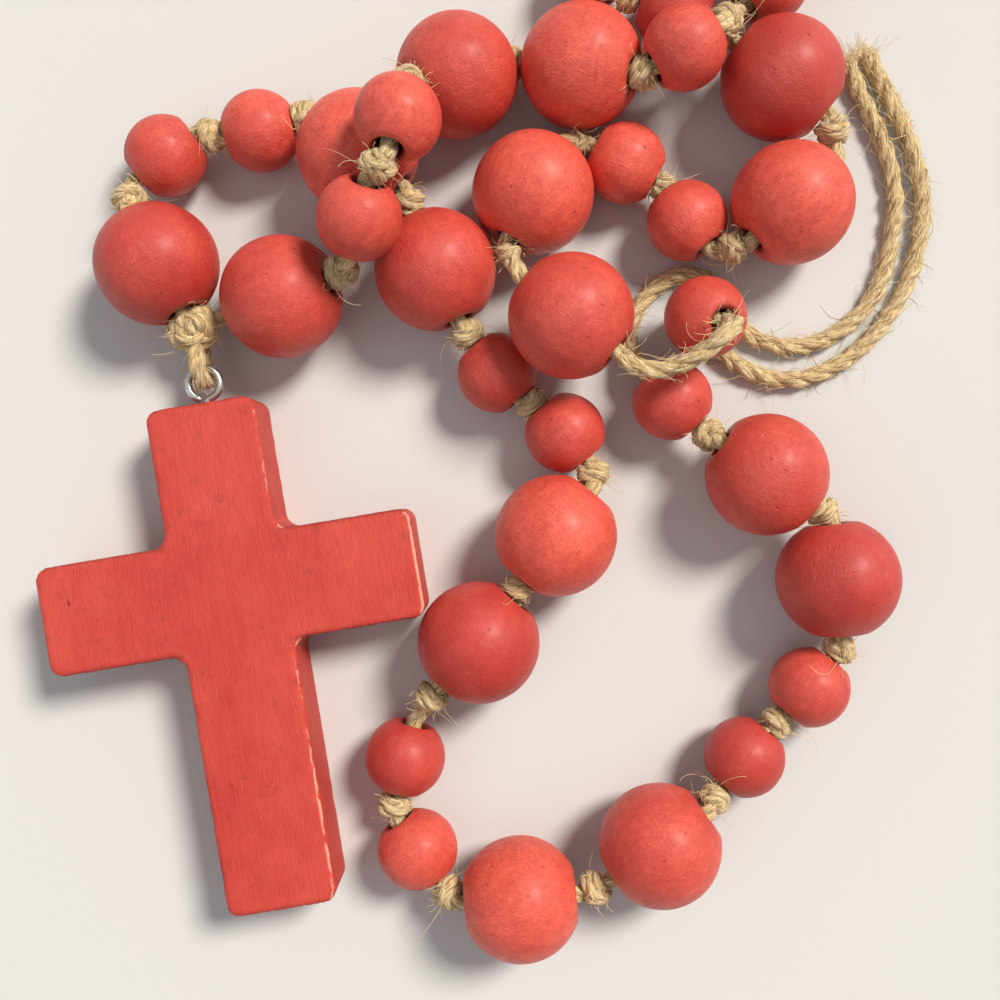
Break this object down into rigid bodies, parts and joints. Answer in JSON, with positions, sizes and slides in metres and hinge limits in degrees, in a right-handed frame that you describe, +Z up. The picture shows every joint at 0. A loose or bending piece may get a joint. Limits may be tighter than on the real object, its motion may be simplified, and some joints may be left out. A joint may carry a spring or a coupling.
{
  "type": "rosary",
  "caption": "Wall rosary of dyed round wooden beads on knotted jute twine, laid in loops, with a flat painted wooden cross hung from a screw eye.",
  "frame": {"origin": "On the table, under the middle of the box round the beads and the cross, without the two loose ends of twine.", "axes": "+Z up from the table; +Y runs from the foot of the cross towards the far loop of beads; +X to the side the loose ends lie on."},
  "size_m": [0.1792, 0.228, 0.038],
  "materials": {
    "red_wood": "red dye on turned wood, matt satin, grain and small pits showing",
    "coral_wood": "lighter coral dye on turned wood, matt satin, grain showing",
    "painted_wood": "thin red paint over sawn board, fine upright grain, paler where the edges are worn",
    "jute": "three-ply jute twine, twisted, with loose fibres",
    "eye_wire": "bright zinc-plated steel wire, a little dull"
  },
  "bodies": {
    "strand": {"centre_knot": "jute", "twine_a": "jute", "twine_b": "jute", "knots_a": "jute", "knots_b": "jute", "tail_a": "jute", "tail_b": "jute"},
    "eye_loop": {"eye_loop": "jute"},
    "cross": {"cross": "painted_wood", "screw_eye": "eye_wire"},
    "large_bead_01": {"large_bead_01": "red_wood"},
    "small_bead_01": {"small_bead_01": "red_wood"},
    "small_bead_02": {"small_bead_02": "coral_wood"},
    "large_bead_02": {"large_bead_02": "coral_wood"},
    "large_bead_03": {"large_bead_03": "red_wood"},
    "small_bead_03": {"small_bead_03": "red_wood"},
    "small_bead_04": {"small_bead_04": "red_wood"},
    "large_bead_04": {"large_bead_04": "coral_wood"},
    "large_bead_05": {"large_bead_05": "red_wood"},
    "small_bead_05": {"small_bead_05": "red_wood"},
    "small_bead_06": {"small_bead_06": "coral_wood"},
    "large_bead_06": {"large_bead_06": "coral_wood"},
    "large_bead_07": {"large_bead_07": "red_wood"},
    "small_bead_07": {"small_bead_07": "red_wood"},
    "small_bead_08": {"small_bead_08": "red_wood"},
    "large_bead_08": {"large_bead_08": "red_wood"},
    "large_bead_09": {"large_bead_09": "red_wood"},
    "small_bead_09": {"small_bead_09": "red_wood"},
    "large_bead_10": {"large_bead_10": "red_wood"},
    "small_bead_10": {"small_bead_10": "red_wood"},
    "small_bead_11": {"small_bead_11": "red_wood"},
    "large_bead_11": {"large_bead_11": "red_wood"},
    "large_bead_12": {"large_bead_12": "coral_wood"},
    "small_bead_12": {"small_bead_12": "red_wood"},
    "small_bead_13": {"small_bead_13": "red_wood"},
    "large_bead_13": {"large_bead_13": "red_wood"},
    "large_bead_14": {"large_bead_14": "red_wood"},
    "small_bead_14": {"small_bead_14": "red_wood"},
    "small_bead_15": {"small_bead_15": "red_wood"},
    "large_bead_15": {"large_bead_15": "red_wood"},
    "large_bead_16": {"large_bead_16": "coral_wood"},
    "small_bead_16": {"small_bead_16": "coral_wood"},
    "small_bead_17": {"small_bead_17": "coral_wood"},
    "large_bead_17": {"large_bead_17": "coral_wood"},
    "large_bead_18": {"large_bead_18": "red_wood"},
    "closing_bead": {"closing_bead": "red_wood"}
  },
  "joints": [
    {"name": "cross_swing", "type": "hinge", "parent": "strand", "child": "eye_loop", "pos_m": [-0.05538, 0.01124, 0.009], "axis": [0, 0, 1], "range_deg": [-30, 0]},
    {"name": "cross_lift", "type": "hinge", "parent": "eye_loop", "child": "cross", "pos_m": [-0.054, 0.003, 0.0075], "axis": [-0.9863, -0.165, 0], "range_deg": [0, 70]},
    {"name": "turn_large_bead_01", "type": "hinge", "parent": "strand", "child": "large_bead_01", "pos_m": [-0.0615, 0.023, 0.012], "axis": [-0.4848, 0.8746, 0], "continuous": true},
    {"name": "turn_small_bead_01", "type": "hinge", "parent": "strand", "child": "small_bead_01", "pos_m": [-0.061, 0.0455, 0.008], "axis": [0.7986, 0.6018, 0], "continuous": true},
    {"name": "turn_small_bead_02", "type": "hinge", "parent": "strand", "child": "small_bead_02", "pos_m": [-0.042, 0.0505, 0.008], "axis": [0.9744, 0.225, 0], "continuous": true},
    {"name": "turn_large_bead_02", "type": "hinge", "parent": "strand", "child": "large_bead_02", "pos_m": [-0.022, 0.045, 0.012], "axis": [0.788, -0.6157, 0], "continuous": true},
    {"name": "turn_large_bead_03", "type": "hinge", "parent": "strand", "child": "large_bead_03", "pos_m": [-0.0067, 0.0218, 0.012], "axis": [0.4226, -0.9063, 0], "continuous": true},
    {"name": "turn_small_bead_03", "type": "hinge", "parent": "strand", "child": "small_bead_03", "pos_m": [0.0055, 0.002, 0.008], "axis": [0.6428, -0.766, 0], "continuous": true},
    {"name": "turn_small_bead_04", "type": "hinge", "parent": "strand", "child": "small_bead_04", "pos_m": [0.019, -0.01, 0.008], "axis": [0.6428, -0.766, 0], "continuous": true},
    {"name": "turn_large_bead_04", "type": "hinge", "parent": "strand", "child": "large_bead_04", "pos_m": [0.017, -0.0305, 0.012], "axis": [-0.6293, -0.7771, 0], "continuous": true},
    {"name": "turn_large_bead_05", "type": "hinge", "parent": "strand", "child": "large_bead_05", "pos_m": [0.0018, -0.0515, 0.012], "axis": [-0.6561, -0.7547, 0], "continuous": true},
    {"name": "turn_small_bead_05", "type": "hinge", "parent": "strand", "child": "small_bead_05", "pos_m": [-0.013, -0.075, 0.008], "axis": [-0.2588, -0.9659, 0], "continuous": true},
    {"name": "turn_small_bead_06", "type": "hinge", "parent": "strand", "child": "small_bead_06", "pos_m": [-0.0105, -0.0935, 0.008], "axis": [0.5736, -0.8192, 0], "continuous": true},
    {"name": "turn_large_bead_06", "type": "hinge", "parent": "strand", "child": "large_bead_06", "pos_m": [0.01, -0.102, 0.012], "axis": [0.9962, 0.0872, 0], "continuous": true},
    {"name": "turn_large_bead_07", "type": "hinge", "parent": "strand", "child": "large_bead_07", "pos_m": [0.0375, -0.0915, 0.012], "axis": [0.8192, 0.5736, 0], "continuous": true},
    {"name": "turn_small_bead_07", "type": "hinge", "parent": "strand", "child": "small_bead_07", "pos_m": [0.055, -0.075, 0.008], "axis": [0.6428, 0.766, 0], "continuous": true},
    {"name": "turn_small_bead_08", "type": "hinge", "parent": "strand", "child": "small_bead_08", "pos_m": [0.068, -0.061, 0.008], "axis": [0.6428, 0.766, 0], "continuous": true},
    {"name": "turn_large_bead_08", "type": "hinge", "parent": "strand", "child": "large_bead_08", "pos_m": [0.0725, -0.039, 0.012], "axis": [-0.1045, 0.9945, 0], "continuous": true},
    {"name": "turn_large_bead_09", "type": "hinge", "parent": "strand", "child": "large_bead_09", "pos_m": [0.0585, -0.0185, 0.012], "axis": [-0.8192, 0.5736, 0], "continuous": true},
    {"name": "turn_small_bead_09", "type": "hinge", "parent": "strand", "child": "small_bead_09", "pos_m": [0.0405, -0.0035, 0.008], "axis": [-0.7071, 0.7071, 0], "continuous": true},
    {"name": "turn_large_bead_10", "type": "hinge", "parent": "strand", "child": "large_bead_10", "pos_m": [-0.037, 0.0165, 0.012], "axis": [0.933, 0.25, 0.2588], "continuous": true},
    {"name": "turn_small_bead_10", "type": "hinge", "parent": "strand", "child": "small_bead_10", "pos_m": [-0.02, 0.0285, 0.026], "axis": [0.282, 0.8188, 0.5], "continuous": true},
    {"name": "turn_small_bead_11", "type": "hinge", "parent": "strand", "child": "small_bead_11", "pos_m": [-0.0125, 0.0455, 0.03], "axis": [0.2114, 0.9156, -0.342], "continuous": true},
    {"name": "turn_large_bead_11", "type": "hinge", "parent": "strand", "child": "large_bead_11", "pos_m": [-0.0025, 0.06, 0.012], "axis": [0.7747, 0.3449, -0.5299], "continuous": true},
    {"name": "turn_large_bead_12", "type": "hinge", "parent": "strand", "child": "large_bead_12", "pos_m": [0.022, 0.062, 0.012], "axis": [0.8928, -0.273, 0.3584], "continuous": true},
    {"name": "turn_small_bead_12", "type": "hinge", "parent": "strand", "child": "small_bead_12", "pos_m": [0.0412, 0.0627, 0.019], "axis": [0.8525, 0.5122, 0.1045], "continuous": true},
    {"name": "turn_small_bead_13", "type": "hinge", "parent": "strand", "child": "small_bead_13", "pos_m": [0.06, 0.0805, 0.008], "axis": [0.7071, 0.7071, 0], "continuous": true},
    {"name": "turn_large_bead_13", "type": "hinge", "parent": "strand", "child": "large_bead_13", "pos_m": [0.058, 0.1005, 0.012], "axis": [-0.7314, 0.682, 0], "continuous": true},
    {"name": "turn_large_bead_14", "type": "hinge", "parent": "strand", "child": "large_bead_14", "pos_m": [0.0335, 0.102, 0.012], "axis": [-0.891, -0.454, 0], "continuous": true},
    {"name": "turn_small_bead_14", "type": "hinge", "parent": "strand", "child": "small_bead_14", "pos_m": [0.0253, 0.0838, 0.008], "axis": [0.6018, -0.7986, 0], "continuous": true},
    {"name": "turn_small_bead_15", "type": "hinge", "parent": "strand", "child": "small_bead_15", "pos_m": [0.041, 0.0749, 0.008], "axis": [0.9397, -0.342, 0], "continuous": true},
    {"name": "turn_large_bead_15", "type": "hinge", "parent": "strand", "child": "large_bead_15", "pos_m": [0.0615, 0.0595, 0.012], "axis": [0.788, -0.6157, 0], "continuous": true},
    {"name": "turn_large_bead_16", "type": "hinge", "parent": "strand", "child": "large_bead_16", "pos_m": [0.0635, 0.035, 0.012], "axis": [-0.7314, -0.682, 0], "continuous": true},
    {"name": "turn_small_bead_16", "type": "hinge", "parent": "strand", "child": "small_bead_16", "pos_m": [0.0435, 0.0325, 0.008], "axis": [-0.596, 0.7909, -0.1392], "continuous": true},
    {"name": "turn_small_bead_17", "type": "hinge", "parent": "strand", "child": "small_bead_17", "pos_m": [0.0312, 0.0441, 0.008], "axis": [-0.8829, 0.4695, 0], "continuous": true},
    {"name": "turn_large_bead_17", "type": "hinge", "parent": "strand", "child": "large_bead_17", "pos_m": [0.0125, 0.037, 0.012], "axis": [-0.4669, -0.8781, 0.1045], "continuous": true},
    {"name": "turn_large_bead_18", "type": "hinge", "parent": "strand", "child": "large_bead_18", "pos_m": [0.0195, 0.0115, 0.0195], "axis": [0.7742, -0.6269, 0.0872], "continuous": true},
    {"name": "turn_closing_bead", "type": "hinge", "parent": "strand", "child": "closing_bead", "pos_m": [0.046, 0.012, 0.0145], "axis": [0.3846, -0.2693, 0.8829], "continuous": true}
  ]
}
